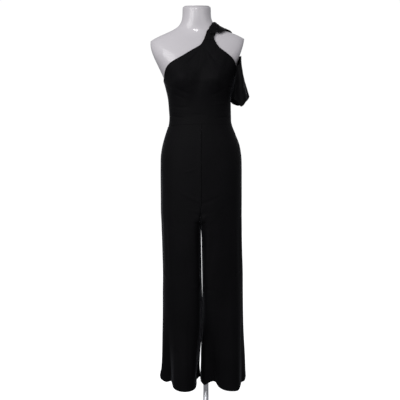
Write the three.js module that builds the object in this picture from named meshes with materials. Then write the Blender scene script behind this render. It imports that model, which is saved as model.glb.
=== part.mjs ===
// A one-shoulder jumpsuit of black jersey on a limbless dress form.
// Millimetres, +Z up. X runs to the right of the front view and Y to the back.
// The pole stands on the origin, and the base rests on Z = 0.
import * as THREE from "three";

// Cloth sizes.
const clothThickness = 1.6;
const seamGap = 0.3;
const formInset = 6; // from the cloth's outer face to the form's
const shoulderSink = 3.5; // the form's shoulders lie this much lower under the cloth
const bodyPlaneY = -35; // the side seams lie in this plane, in front of the pole

// The form's neck.
const neckTopHeight = 1711;
const neckTopSlope = 0.27; // the cut rises to the back
const neckCentreX = -38.2;
const neckCapRadius = 52;
const neckCapThickness = 4;
const neckCapEdge = 1;

// How far the side seams lie from the middle of the bodice, and of a leg.
const seamReach = 130;
const legSeamReach = 80;

// Heights of the garment.
const underarmHeight = 1404;
const waistHeight = 1213;
const crotchHeight = 815;
const riseStartHeight = 900;
const hemHeight = 157;
const crotchCentreX = -22.6;

// Stand sizes. The pole ends just under the form.
const formLowHeight = 868;
const poleRadius = 11;
const poleTopHeight = formLowHeight - seamGap;
const baseRadius = 178;
const baseThickness = 8;
const baseEdgeRound = 2;
const baseUnderEdge = 1;
const socketRadius = 22;
const socketHeight = 34;
const socketTaper = 5;
const socketStraightShare = 0.4;

// Outer face of the cloth by height; the form lies inside it by its inset.
// A section is a rounded oval: its half width, its reach to the front and to
// the back of the side seams, and a power (2 is an ellipse, more is squarer).
const torsoColumns = ["height", "centre", "half", "front", "back", "power"];
const torsoRows = [
  [820, -19.2, 166, 121, 129, 2.5],
  [860, -19.2, 166.8, 121, 131, 2.5],
  [960, -19.5, 167.2, 121, 134, 2.45],
  [1040, -19.6, 167.5, 119, 131, 2.4],
  [1100, -20.1, 165.4, 115, 122, 2.3],
  [1134, -20.1, 159.6, 112, 116, 2.3],
  [1167, -21.5, 149.4, 107, 108, 2.25],
  [1200, -23.2, 137.8, 100, 99, 2.2],
  [1213, -23.2, 133, 97, 95, 2.2],
  [1228, -24, 129.5, 94.5, 92, 2.2],
  [1245, -23.7, 128, 93, 91, 2.2],
  [1290, -25.7, 128.8, 95, 91, 2.2],
  [1330, -27.4, 131, 101, 95, 2.2],
  [1366, -28.7, 137.5, 105, 100, 2.25],
  [1404, -29.7, 147, 105, 103, 2.3],
  [1440, -31.7, 160.5, 101, 103, 2.5],
  [1490, -33.2, 184, 89, 99, 2.8],
  [1530, -34.7, 200, 77, 89, 3],
  [1571, -35.7, 203, 63, 73, 2.6],
  [1590, -36, 177, 58, 68, 2.1],
  [1603, -36.5, 146, 56, 65, 1.85],
  [1614, -37, 118, 55, 63, 1.75],
  [1626, -37.6, 93, 56, 62, 1.75],
  [1638, -38.1, 78.5, 57.5, 61.5, 1.85],
  [1651, -38.5, 71, 58.5, 61, 1.95],
  [1664, -38.7, 66, 59, 61, 2],
  [1713, -38.7, 65, 59, 61, 2],
];

// Soft swell of the bust on the front of the sections.
const bustHeight = 1392;
const bustApart = 74;
const bustDepth = 22;
const bustWide = 44;
const bustTall = 46;

// The viewer's-right shoulder stands a little higher than the other.
const tiltSlope = 0.025;
const tiltFrom = 1250;
const tiltTo = 1550;
const tiltFadeFrom = 1650;
const tiltFadeTo = 1700;

// The form's arms are cut off flat: where its two cut faces stand across, by
// height. Each cut starts at the first row.
const armCutColumns = ["height", "left", "right"];
const armCutRows = [
  [1390, -188, 132],
  [1412, -182, 123],
  [1437, -185.5, 122],
  [1469, -199, 128],
  [1512, -219, 142],
  [1549, -232, 156],
  [1580, -237, 166],
  [1640, -248, 180],
];

// Outer and inner silhouettes of each leg by height.
const legColumns = ["height", "leftOuter", "leftInner", "rightInner", "rightOuter"];
const legRows = [
  [hemHeight, -186, -24.2, -22.8, 161.5],
  [187, -182, -27.4, -22.4, 160.5],
  [237, -179.8, -26.6, -21.8, 159.8],
  [285, -179.4, -24, -21.4, 158.4],
  [320, -179.2, -20.6, -20, 157.4],
  [380, -178.8, -17.2, -16.6, 155.2],
  [441, -178.5, -16, -14.8, 153.8],
  [480, -178.3, -16.8, -14.6, 153.2],
  [536, -178.2, -17.7, -15.4, 152.7],
  [636, -178, -20, -16.8, 152],
  [736, -181, -21.5, -18.4, 149],
  [785, -182.7, -22.3, -20, 148.3],
  [crotchHeight, -183.6, -22.9, -22.3, 148],
  [860, -185.5, -22.8, -22.4, 147.5],
];

// Where the loose cloth of a leg hangs by itself: its reach at the hem, and a
// power of its section. The lift of the folds at the hem dies out above it.
const hemFront = 108;
const hemBack = 112;
const hemPower = 2.4;
const legFreeFrom = 800;
const legFreeBelowHem = 120;
const hemLiftReach = 260;
const foldGrowPower = 1.35;
const legOvalFrom = 860; // above this the torso sections give the outline

// Folds of the legs, a row each: direction seen from above (270 faces the
// front, 180 the left), half width in degrees, push outward at the hem,
// height where it starts, and how far it lifts the hem.
const foldColumns = ["angle", "wide", "push", "from", "lift"];
const leftFolds = [
  [282, 32, 24, 640, -2],
  [234, 31, -40, 500, 17],
  [192, 34, 4, 420, 34],
  [336, 34, -14, 330, 16],
  [3, 24, 0, 300, 18],
  [22, 24, 3, 290, 14],
  [62, 20, -13, 600, 2],
  [92, 22, 12, 680, -2],
  [128, 19, -15, 560, 16],
  [158, 15, 7, 480, 8],
];
const rightFolds = [
  [294, 30, 23, 660, -2],
  [240, 30, -34, 520, 22],
  [198, 20, 0, 400, 15],
  [316, 27, -9, 430, 15],
  [354, 38, 3, 380, 28],
  [28, 26, -7, 420, 20],
  [58, 21, 10, 600, 0],
  [88, 18, -14, 640, 2],
  [116, 21, 12, 560, -2],
  [148, 22, 7, 300, 1],
];

// Soft drags of the cloth from hip to knee: angle, half width, push, lowest
// and highest height of the drag.
const dragColumns = ["angle", "wide", "push", "low", "high"];
const leftDrags = [
  [250, 16, 2.6, 380, 1020],
  [304, 13, -2.4, 430, 900],
  [110, 16, 3, 400, 960],
  [70, 14, -2.6, 450, 900],
];
const rightDrags = [
  [262, 15, 2.4, 420, 980],
  [318, 13, -2.2, 380, 880],
  [100, 17, 2.8, 380, 940],
  [134, 13, -2.2, 480, 900],
];

// Pull folds of the bodice: angle at the waist and at the top, heights between
// which the fold runs, half width in degrees and push outward.
const pullColumns = ["lowAngle", "topAngle", "low", "high", "wide", "push"];
const frontPulls = [
  [236, 284, 1225, 1550, 7, 1.8],
  [262, 289, 1300, 1552, 5, -1.6],
  [304, 296, 1235, 1550, 7, 1.7],
  [328, 300, 1290, 1520, 6, -1.5],
  [212, 268, 1330, 1500, 8, 1.5],
];
const backPulls = [
  [142, 66, 1225, 1590, 7, 1.8],
  [112, 60, 1300, 1590, 6, -1.6],
  [74, 54, 1235, 1585, 7, 1.7],
  [42, 44, 1290, 1560, 6, -1.5],
];

// Top edges of the bodice: direction seen from above and height.
const edgeColumns = ["angle", "height"];
const frontEdge = [
  [180, 1403],
  [189, 1404],
  [200, 1413],
  [213, 1432],
  [227, 1453],
  [245, 1474],
  [254, 1485],
  [261, 1497],
  [266, 1509],
  [269.4, 1522],
  [271.6, 1542],
  [273.7, 1559],
  [278, 1560],
  [282.1, 1559],
  [283.4, 1541],
  [285.6, 1528],
  [289.5, 1517],
  [296.3, 1504],
  [305, 1492],
  [313.7, 1481],
  [322.3, 1470],
  [329.8, 1459],
  [337.2, 1447],
  [349, 1420],
  [360, 1404],
];
const backEdge = [
  [0, 1404],
  [10, 1420],
  [21, 1448],
  [30, 1482],
  [37, 1520],
  [41, 1560],
  [44.5, 1590],
  [48, 1606],
  [52, 1615],
  [57, 1616],
  [62, 1604],
  [69, 1582],
  [80, 1552],
  [98, 1517],
  [120, 1482],
  [145, 1445],
  [165, 1416],
  [180, 1403],
];

// The strap's edges by height, as directions seen from above.
const strapLow = 1560.6;
const strapHigh = 1604;
const strapPleats = 2.5;
const strapPleatDepth = 0.9;
const strapLiftOff = 1.4;
const strapColumns = ["height", "left", "right"];
const strapRows = [
  [1560, 273.7, 282.3],
  [1573, 275.4, 284.5],
  [1586, 279.4, 291.5],
  [1599, 285, 300],
  [1612, 295, 312],
];

// The knot's place, half sizes, thickness and seat above the cloth's face.
const knotX = 36;
const knotY = -35;
const knotLong = 27;
const knotWide = 15;
const knotTurn = 66;
const knotNearestX = 31;
const knotThick = 4.2;
const knotSeat = 4.2;

// The band over the shoulder: its two ends and its edges in front of and
// behind the seam plane, near the knot and far from it.
const bandFromX = 46;
const bandToX = 108;
const bandFrontNear = -54;
const bandFrontFar = -10;
const bandBackNear = 60;
const bandBackFar = 56;
const bandPleats = 2;
const bandPleatDepth = 0.7;
const bandLiftOff = 2.6;
const bandSeatBack = 3; // over the back panel's top edge, which it is sewn to
const bandLoft = 3; // behind the knot only, so that it fits under it
const bandLoftFrom = -16;
const bandLoftTo = 2;

// The sleeve: inner and outer reach and half depth by height, then its hem and
// top edge round it (0 and 1 meet at the underarm seam, 0.5 is outside).
const sleeveMiddleY = 2;
const sleeveSeamTurn = 0.6;
const sleeveGapTurn = 0.5;
const sleeveColumns = ["height", "inner", "outer", "depth", "power"];
const sleeveRows = [
  [1285, 104, 188, 50, 2],
  [1300, 104, 186, 52, 2],
  [1334, 104.5, 181, 57, 2],
  [1366, 109.6, 170.2, 61, 2.2],
  [1404, 117.6, 159.4, 66, 2.4],
  [1440, 113, 151.5, 69, 2.7],
  [1470, 104, 146.4, 70, 3],
  [1524, 92, 145.4, 71, 3.2],
];
const sleeveEdgeColumns = ["at", "hem", "top"];
const sleeveEdges = [
  [0, 1326, 1450],
  [0.11, 1323, 1456],
  [0.18, 1309, 1462],
  [0.24, 1290, 1469],
  [0.31, 1308, 1478],
  [0.4, 1329, 1490],
  [0.5, 1338, 1504],
  [0.62, 1327, 1512],
  [0.78, 1310, 1516],
  [0.9, 1315, 1517],
  [1, 1321, 1517],
];
const sleeveFoldColumns = ["at", "wide", "push"];
const sleeveFolds = [
  [0.16, 0.07, -5],
  [0.28, 0.08, 6],
  [0.39, 0.06, -5],
  [0.7, 0.08, 6],
  [0.83, 0.07, -5],
];

// The form's rounded underside: height and how far the section draws in.
const formUnderRows = [
  [formLowHeight, 60],
  [870, 36],
  [876, 18],
  [888, 6],
  [905, 0],
];
const formHeights = [
  960, 1040, 1100, 1150, 1200, 1245, 1300, 1345, 1385, 1404, 1414, 1440, 1475, 1510, 1545,
  1571, 1586, 1600, 1616, 1630, 1646, 1664, 1690, 1706,
];
const formPointsAround = 40;
const neckTopRound = 2;

// Steps over each kind of panel: across the trousers and up the bodice, then
// directions round the bodice and heights above the hem.
const trouserAcross = 14;
const bodiceUp = 10;
const frontAngles = [
  180, 190, 201, 212, 222, 232, 242, 251, 258, 264, 268, 271, 273.7, 278, 282.1, 284, 287,
  292, 299, 307, 316, 325, 334, 343, 352, 360,
];
const backAngles = [
  0, 8, 15, 22, 29, 35, 39, 42, 45, 48, 52, 57, 62, 69, 78, 90, 103, 116, 129, 142, 155,
  168, 180,
];
const trouserHeights = [
  0, 30, 75, 130, 200, 280, 370, 460, 550, 610, 644, 658, 668, 680, 694, 710, 728, 745,
  775, 830, 885, 940, 985, 1020, 1056,
];

// How square a leg's section is where it meets the middle plane: soft below
// the crotch, sharp where the two halves are sewn together.
const riseSquare = 3; // how square the rise turns under (2 is a quarter ellipse)
const riseCloseSharp = 8; // how near the rise a panel is drawn in to the seam
const riseCloseBelow = 25;
const riseCloseToWaist = 40;
const softCorner = 6;
const sharpCorner = 150;
const cornerRisePower = 1.5;

// The share of a trouser panel's columns that turn in past the middle seam's
// line: just under the crotch, and lower down where columns are even.
const crotchColumnShare = 0.16;
const inseamColumnShare = 0.3;
const columnsEvenBelow = 380;

const rad = THREE.MathUtils.degToRad;
const lerp = THREE.MathUtils.lerp;
const ease = (x, from, to) => THREE.MathUtils.smoothstep(x, from, to);

const signedPower = (v, power) => Math.sign(v) * Math.abs(v) ** power;

// One soft bump: 1 in the middle, 0 at the half width and beyond.
function bump(distance, wide) {
  const s = Math.abs(distance) / wide;
  return s >= 1 ? 0 : (1 + Math.cos(Math.PI * s)) / 2;
}

// The shorter way round between two directions, in degrees.
function turnBetween(a, b) {
  return ((((a - b) % 360) + 540) % 360) - 180;
}

// A table read at a place in its first column, with smooth tangents.
function readTable(rows, columns, at) {
  const last = rows.length - 1;
  const x = THREE.MathUtils.clamp(at, rows[0][0], rows[last][0]);
  let i = 0;
  while (i < last - 1 && rows[i + 1][0] < x) i += 1;
  const step = rows[i + 1][0] - rows[i][0];
  const t = (x - rows[i][0]) / step;
  const values = {};
  columns.forEach((name, c) => {
    const slopeAt = (k) => {
      if (k === 0 || k === last) return 0;
      return (rows[k + 1][c] - rows[k - 1][c]) / (rows[k + 1][0] - rows[k - 1][0]);
    };
    const h = t * t * (3 - 2 * t);
    values[name] =
      rows[i][c] * (1 - h) +
      rows[i + 1][c] * h +
      slopeAt(i) * step * (t * t * t - 2 * t * t + t) +
      slopeAt(i + 1) * step * (t * t * t - t * t);
  });
  return values;
}

// How much the sections lean sideways at a height: none at the neck's top.
function tiltAt(height) {
  const fade = 1 - ease(height, tiltFadeFrom, tiltFadeTo);
  return tiltSlope * ease(height, tiltFrom, tiltTo) * fade;
}

// A point on the torso's outer face, or on the form's with an inset.
function torsoPoint(degrees, height, inset = 0) {
  const s = readTable(torsoRows, torsoColumns, height);
  const c = Math.cos(rad(degrees));
  const n = Math.sin(rad(degrees));
  const round = (v) => signedPower(v, 2 / s.power);
  const reach = (n < 0 ? s.front : s.back) - inset;
  const x = s.centre + (s.half - inset) * round(c);
  let y = reach * round(n);
  const across = Math.abs(x - s.centre);
  const swell =
    Math.exp(-(((across - bustApart) / bustWide) ** 2)) *
    Math.exp(-(((height - bustHeight) / bustTall) ** 2));
  if (n < 0) y -= bustDepth * swell * Math.min(1, -n * 1.6);
  const tilt = tiltAt(height) * (x - s.centre);
  return new THREE.Vector3(x, y + bodyPlaneY, height + tilt);
}

// The height of the shoulder's outer face above a place on the plan.
function shoulderHeight(x, y) {
  let low = 1500;
  let high = 1700;
  for (let i = 0; i < 40; i += 1) {
    const middle = (low + high) / 2;
    const s = readTable(torsoRows, torsoColumns, middle);
    const reach = y < bodyPlaneY ? s.front : s.back;
    const inside =
      Math.abs((x - s.centre) / s.half) ** s.power +
      Math.abs((y - bodyPlaneY) / reach) ** s.power;
    if (inside < 1) low = middle;
    else high = middle;
  }
  const s = readTable(torsoRows, torsoColumns, low);
  return low + tiltAt(low) * (x - s.centre);
}

// The outward direction of a surface whose u and v run as seen from outside.
function surfaceNormal(surface, u, v) {
  const d = 0.004;
  const alongU = surface(u + d, v).sub(surface(u - d, v));
  const alongV = surface(u, v + d).sub(surface(u, v - d));
  return alongU.cross(alongV).normalize();
}

// A wall of cloth: the outer face is surface(u, v), and the inner face lies
// one thickness behind it. vSteps may be a number or a list of places.
function clothWall(surface, uSteps, vSteps, thickness = clothThickness) {
  const even = (n) => Array.from({ length: n + 1 }, (_, i) => i / n);
  const us = Array.isArray(uSteps) ? uSteps : even(uSteps);
  const vs = Array.isArray(vSteps) ? vSteps : even(vSteps);
  const positions = [];
  const outer = [];
  const inner = [];
  for (const v of vs) {
    const outerRow = [];
    const innerRow = [];
    for (const u of us) {
      const p = surface(u, v);
      const q = p.clone().addScaledVector(surfaceNormal(surface, u, v), -thickness);
      outerRow.push(positions.length / 3);
      positions.push(p.x, p.y, p.z);
      innerRow.push(positions.length / 3);
      positions.push(q.x, q.y, q.z);
    }
    outer.push(outerRow);
    inner.push(innerRow);
  }
  const index = [];
  const quad = (a, b, c, d) => index.push(a, b, c, a, c, d);
  const lastU = us.length - 1;
  const lastV = vs.length - 1;
  for (let j = 0; j < lastV; j += 1) {
    for (let i = 0; i < lastU; i += 1) {
      quad(outer[j][i], outer[j][i + 1], outer[j + 1][i + 1], outer[j + 1][i]);
      quad(inner[j][i], inner[j + 1][i], inner[j + 1][i + 1], inner[j][i + 1]);
    }
    quad(outer[j][0], outer[j + 1][0], inner[j + 1][0], inner[j][0]);
    quad(outer[j][lastU], inner[j][lastU], inner[j + 1][lastU], outer[j + 1][lastU]);
  }
  for (let i = 0; i < lastU; i += 1) {
    quad(outer[0][i], inner[0][i], inner[0][i + 1], outer[0][i + 1]);
    quad(outer[lastV][i], outer[lastV][i + 1], inner[lastV][i + 1], inner[lastV][i]);
  }
  const geometry = new THREE.BufferGeometry();
  geometry.setAttribute("position", new THREE.Float32BufferAttribute(positions, 3));
  geometry.setIndex(index);
  geometry.computeVertexNormals();
  return geometry;
}

// A solid skinned through closed rings of points, capped at both ends.
function ringSolid(rings) {
  const positions = [];
  const index = [];
  const count = rings[0].length;
  for (const ring of rings) {
    for (const p of ring) positions.push(p.x, p.y, p.z);
  }
  for (let j = 0; j < rings.length - 1; j += 1) {
    for (let i = 0; i < count; i += 1) {
      const a = j * count + i;
      const b = j * count + ((i + 1) % count);
      index.push(a, b, b + count, a, b + count, a + count);
    }
  }
  const cap = (ring, start, flip) => {
    const middle = new THREE.Vector3();
    ring.forEach((p) => middle.addScaledVector(p, 1 / count));
    const hub = positions.length / 3;
    positions.push(middle.x, middle.y, middle.z);
    for (let i = 0; i < count; i += 1) {
      const a = start + i;
      const b = start + ((i + 1) % count);
      if (flip) index.push(hub, b, a);
      else index.push(hub, a, b);
    }
  };
  cap(rings[0], 0, true);
  cap(rings[rings.length - 1], (rings.length - 1) * count, false);
  const geometry = new THREE.BufferGeometry();
  geometry.setAttribute("position", new THREE.Float32BufferAttribute(positions, 3));
  geometry.setIndex(index);
  geometry.computeVertexNormals();
  return geometry;
}

// The bodice's outer face with its pull folds.
function bodicePoint(degrees, height, pulls) {
  const base = torsoPoint(degrees, height);
  let push = 0;
  for (const row of pulls) {
    const f = Object.fromEntries(pullColumns.map((name, i) => [name, row[i]]));
    const t = THREE.MathUtils.clamp((height - f.low) / (f.high - f.low), 0, 1);
    const along = Math.sin(Math.PI * t) ** 0.6;
    const angle = lerp(f.lowAngle, f.topAngle, t);
    push += f.push * along * bump(turnBetween(degrees, angle), f.wide * (1.6 - t));
  }
  const s = readTable(torsoRows, torsoColumns, height);
  const out = new THREE.Vector3(base.x - s.centre, base.y - bodyPlaneY, 0).normalize();
  return base.addScaledVector(out, push);
}

// A bodice panel between two side seams, from the waist up to its top edge.
function bodicePanel(angles, edgeRows, pulls) {
  const fromAngle = angles[0];
  const toAngle = angles[angles.length - 1];
  const seamTurn = THREE.MathUtils.radToDeg(seamGap / 2 / seamReach);
  const surface = (u, v) => {
    const degrees = lerp(fromAngle + seamTurn, toAngle - seamTurn, u);
    const top = readTable(edgeRows, edgeColumns, degrees).height;
    const low = waistHeight + seamGap / 2;
    return bodicePoint(degrees, lerp(low, top, v), pulls);
  };
  const us = angles.map((a) => (a - fromAngle) / (toAngle - fromAngle));
  return clothWall(surface, us, bodiceUp);
}

// One leg: its sections are cut from the torso's oval by the middle plane at
// the top, and hang free as ovals with folds at the hem.
function legShape(side) {
  const left = side === "left";
  const folds = left ? leftFolds : rightFolds;
  const drags = left ? leftDrags : rightDrags;

  const frame = (height) => {
    const row = readTable(legRows, legColumns, height);
    const torso = readTable(torsoRows, torsoColumns, height);
    const gap = seamGap / 2;
    const above = height > legOvalFrom;
    const outerBelow = left ? row.leftOuter : row.rightOuter;
    const innerBelow = left ? row.leftInner : row.rightInner;
    const outerAbove = torso.centre + (left ? -torso.half : torso.half);
    const innerAbove = crotchCentreX + (left ? -gap : gap);
    const outer = above ? outerAbove : outerBelow;
    const inner = above ? innerAbove : innerBelow;
    return { torso, outer, inner, middle: (outer + inner) / 2 };
  };

  // Distance from the leg's middle to the torso's oval along a direction.
  const ovalReach = (f, degrees) => {
    const c = Math.cos(rad(degrees));
    const n = Math.sin(rad(degrees));
    const half = Math.abs(f.outer - f.torso.centre);
    const depth = n < 0 ? f.torso.front : f.torso.back;
    let low = 0;
    let high = 400;
    for (let i = 0; i < 36; i += 1) {
      const r = (low + high) / 2;
      const x = Math.abs((f.middle + r * c - f.torso.centre) / half);
      const y = Math.abs((r * n) / depth);
      if (x ** f.torso.power + y ** f.torso.power < 1) low = r;
      else high = r;
    }
    return low;
  };

  const reach = (degrees, height) => {
    const f = frame(height);
    const toPlane = Math.abs(f.inner - f.middle);
    const facing = Math.cos(rad(degrees)) * (left ? 1 : -1);
    const toRise = (height - crotchHeight) / (riseStartHeight - crotchHeight);
    const sewn = THREE.MathUtils.clamp(toRise, 0, 1) ** cornerRisePower;
    const sharp = lerp(softCorner, sharpCorner, sewn);
    const oval = ovalReach(f, degrees);
    let r = oval;
    if (facing > 0.02) {
      r = oval * (1 + ((oval * facing) / toPlane) ** sharp) ** (-1 / sharp);
    }
    const free = 1 - ease(height, hemHeight - legFreeBelowHem, legFreeFrom);
    const c = Math.abs(Math.cos(rad(degrees)) / toPlane);
    const n = Math.sin(rad(degrees));
    const depth = Math.abs(n / (n < 0 ? hemFront : hemBack));
    const loose = (c ** hemPower + depth ** hemPower) ** (-1 / hemPower);
    r = lerp(r, loose, free);
    for (const row of folds) {
      const d = Object.fromEntries(foldColumns.map((name, i) => [name, row[i]]));
      const grow = THREE.MathUtils.clamp((d.from - height) / (d.from - hemHeight), 0, 1);
      r += d.push * grow ** foldGrowPower * bump(turnBetween(degrees, d.angle), d.wide);
    }
    for (const row of drags) {
      const d = Object.fromEntries(dragColumns.map((name, i) => [name, row[i]]));
      const t = THREE.MathUtils.clamp((height - d.low) / (d.high - d.low), 0, 1);
      r += d.push * Math.sin(Math.PI * t) * bump(turnBetween(degrees, d.angle), d.wide);
    }
    return r;
  };

  const lift = (degrees) => {
    let sum = 0;
    for (const row of folds) {
      const d = Object.fromEntries(foldColumns.map((name, i) => [name, row[i]]));
      sum += d.lift * bump(turnBetween(degrees, d.angle), d.wide);
    }
    return sum;
  };

  return { frame, reach, lift };
}

// A trouser panel from its side seam (u = 0 or 1) to the middle, where it ends
// on the rise above the crotch and on the inseam below it.
function trouserPanel(side, face) {
  const left = side === "left";
  const front = face === "front";
  const leg = legShape(side);
  const outerAngle = left ? 180 : front ? 360 : 0;
  const inseamAngle = left ? (front ? 360 : 0) : 180;
  const top = waistHeight - seamGap / 2;
  const tall = top - hemHeight;

  const middleAngle = (height) => {
    const f = leg.frame(Math.max(height, legOvalFrom + 1));
    const depth = front ? -f.torso.front : f.torso.back;
    const run = Math.abs((f.inner - f.torso.centre) / f.torso.half) ** f.torso.power;
    const y = depth * (1 - run) ** (1 / f.torso.power);
    let corner = THREE.MathUtils.radToDeg(Math.atan2(y, f.inner - f.middle));
    if (corner < 0) corner += 360;
    const t = THREE.MathUtils.clamp(
      (riseStartHeight - height) / (riseStartHeight - crotchHeight),
      0,
      1,
    );
    const bend = 1 - (1 - t ** riseSquare) ** (1 / riseSquare);
    const end = lerp(corner, inseamAngle, bend);
    return { corner, end, t };
  };

  // Directions are shared out so that the columns run straight past the
  // crotch: the last few columns open out below the rise.
  const directionAt = (s, height) => {
    const { corner, end, t } = middleAngle(height);
    const low = 1 - ease(height, columnsEvenBelow, crotchHeight);
    const share = 1 - lerp(crotchColumnShare * t, inseamColumnShare, low);
    if (s <= share) return lerp(outerAngle, corner, s / share);
    if (share > 0.999) return lerp(outerAngle, corner, s);
    return lerp(corner, end, (s - share) / (1 - share));
  };

  const surface = (s, v) => {
    const height = hemHeight + v * tall;
    const turn = THREE.MathUtils.radToDeg(seamGap / 2 / legSeamReach);
    const sign = Math.sign(middleAngle(height).corner - outerAngle);
    const atInseam = 1 - ease(height, crotchHeight, riseStartHeight);
    const shift = sign * turn * (1 - s - s * atInseam);
    const degrees = directionAt(s, height) + shift;
    const f = leg.frame(height);
    const r = leg.reach(degrees, height);
    const fade = 1 - ease(height, hemHeight, hemHeight + hemLiftReach);
    const shut = ease(height, crotchHeight - riseCloseBelow, crotchHeight);
    const atWaist = ease(height, waistHeight - riseCloseToWaist, waistHeight);
    const closed = s ** riseCloseSharp * shut * (1 - atWaist);
    return new THREE.Vector3(
      lerp(f.middle + r * Math.cos(rad(degrees)), f.inner, closed),
      bodyPlaneY + r * Math.sin(rad(degrees)),
      height + leg.lift(degrees) * fade,
    );
  };
  // The panel runs from left to right as seen from outside.
  const towardInseam = (left && front) || (!left && !front);
  const facing = (u, v) => surface(towardInseam ? u : 1 - u, v);
  const vs = trouserHeights.map((h) => h / (waistHeight - hemHeight));
  return clothWall(facing, trouserAcross, vs);
}

// The form: the torso's sections inset from the cloth, flat where the arms are
// cut, rounded underneath, up to the top of the neck.
function formTorso() {
  const around = formPointsAround;
  const ring = (height, shrink) => {
    const cut = readTable(armCutRows, armCutColumns, height);
    const points = [];
    for (let i = 0; i < around; i += 1) {
      const sink = shoulderSink * ease(height, 1470, 1560) * (1 - ease(height, 1640, 1690));
      const p = torsoPoint((360 * i) / around, height + sink, formInset + shrink);
      p.z -= sink;
      const rise = neckTopSlope * ease(height, 1655, neckTopHeight);
      p.z += rise * (p.y - bodyPlaneY);
      if (height >= armCutRows[0][0]) {
        p.x = THREE.MathUtils.clamp(p.x, cut.left, cut.right);
      }
      points.push(p);
    }
    return points;
  };
  const rings = [];
  formUnderRows.forEach(([height, shrink]) => rings.push(ring(height, shrink)));
  formHeights.forEach((height) => rings.push(ring(height, 0)));
  rings.push(ring(neckTopHeight, neckTopRound));
  return ringSolid(rings);
}

// A point above the shoulder's cloth face, moved out along its normal.
function overShoulder(x, y, out) {
  const d = 0.5;
  const slopeX = (shoulderHeight(x + d, y) - shoulderHeight(x - d, y)) / (2 * d);
  const slopeY = (shoulderHeight(x, y + d) - shoulderHeight(x, y - d)) / (2 * d);
  const normal = new THREE.Vector3(-slopeX, -slopeY, 1).normalize();
  return new THREE.Vector3(x, y, shoulderHeight(x, y)).addScaledVector(normal, out);
}

// The strap climbs from the peak of the bodice to the knot, in soft pleats.
function shoulderStrap() {
  const surface = (u, v) => {
    const height = lerp(strapLow, strapHigh, v);
    const row = readTable(strapRows, strapColumns, height);
    const degrees = lerp(row.left, row.right, u);
    const p = torsoPoint(degrees, height);
    const s = readTable(torsoRows, torsoColumns, height);
    const out = new THREE.Vector3(p.x - s.centre, p.y - bodyPlaneY, 30).normalize();
    const pleat = strapPleatDepth * Math.cos(u * Math.PI * 2 * strapPleats);
    return p.addScaledVector(out, strapLiftOff + pleat * ease(v, 0, 0.3));
  };
  return clothWall(surface, 12, 5);
}

// The knot is a lump of wrapped cloth that sits over the end of the strap.
function shoulderKnot() {
  const around = 18;
  const ring = (share, top) => {
    const points = [];
    for (let i = 0; i < around; i += 1) {
      const a = (2 * Math.PI * i) / around;
      const along = knotLong * share * Math.cos(a);
      const across = knotWide * share * Math.sin(a);
      const turn = rad(knotTurn);
      const x = knotX + along * Math.cos(turn) - across * Math.sin(turn);
      const y = bodyPlaneY + knotY + along * Math.sin(turn) + across * Math.cos(turn);
      const low = overShoulder(Math.max(x, knotNearestX), y, knotSeat);
      low.x = Math.max(low.x + Math.min(0, x - knotNearestX), x);
      const wrap = 1 + 0.16 * Math.cos(a * 2 + 0.8) * share;
      low.z += top ? knotThick * wrap * Math.sqrt(Math.max(0, 1 - share * share)) : 0;
      points.push(low);
    }
    return points;
  };
  return ringSolid([
    ring(0.5, false),
    ring(0.99, false),
    ring(0.94, true),
    ring(0.8, true),
    ring(0.56, true),
    ring(0.28, true),
  ]);
}

// The band lies over the shoulder from the knot outwards and laps the back.
function shoulderBand() {
  const surface = (u, v) => {
    const front = lerp(bandFrontNear, bandFrontFar, u * u);
    const back = lerp(bandBackNear, bandBackFar, u);
    const across = lerp(front, back, v);
    const y = bodyPlaneY + across;
    const x = lerp(bandFromX, bandToX, u);
    const pleat = bandPleatDepth * Math.cos(v * Math.PI * 2 * bandPleats + u);
    const hump = Math.sin(Math.PI * THREE.MathUtils.clamp(v, 0, 1)) * (1 - u) ** 2;
    const loft = bandLoft * hump * ease(across, bandLoftFrom, bandLoftTo);
    const seat = lerp(bandLiftOff, bandSeatBack, ease(v, 0.7, 0.95));
    const fade = ease(1 - u, 0, 0.4) * (1 - ease(v, 0.7, 0.95));
    return overShoulder(x, y, seat + loft + pleat * fade);
  };
  return clothWall(surface, 9, 10);
}

// Where a panel's top edge stands at a height, between two directions.
function edgeAngleAt(rows, low, high, height) {
  let a = low;
  let b = high;
  const rising = readTable(rows, edgeColumns, high).height > height;
  for (let i = 0; i < 30; i += 1) {
    const middle = (a + b) / 2;
    const above = readTable(rows, edgeColumns, middle).height > height;
    if (above === rising) b = middle;
    else a = middle;
  }
  return (a + b) / 2;
}

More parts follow.
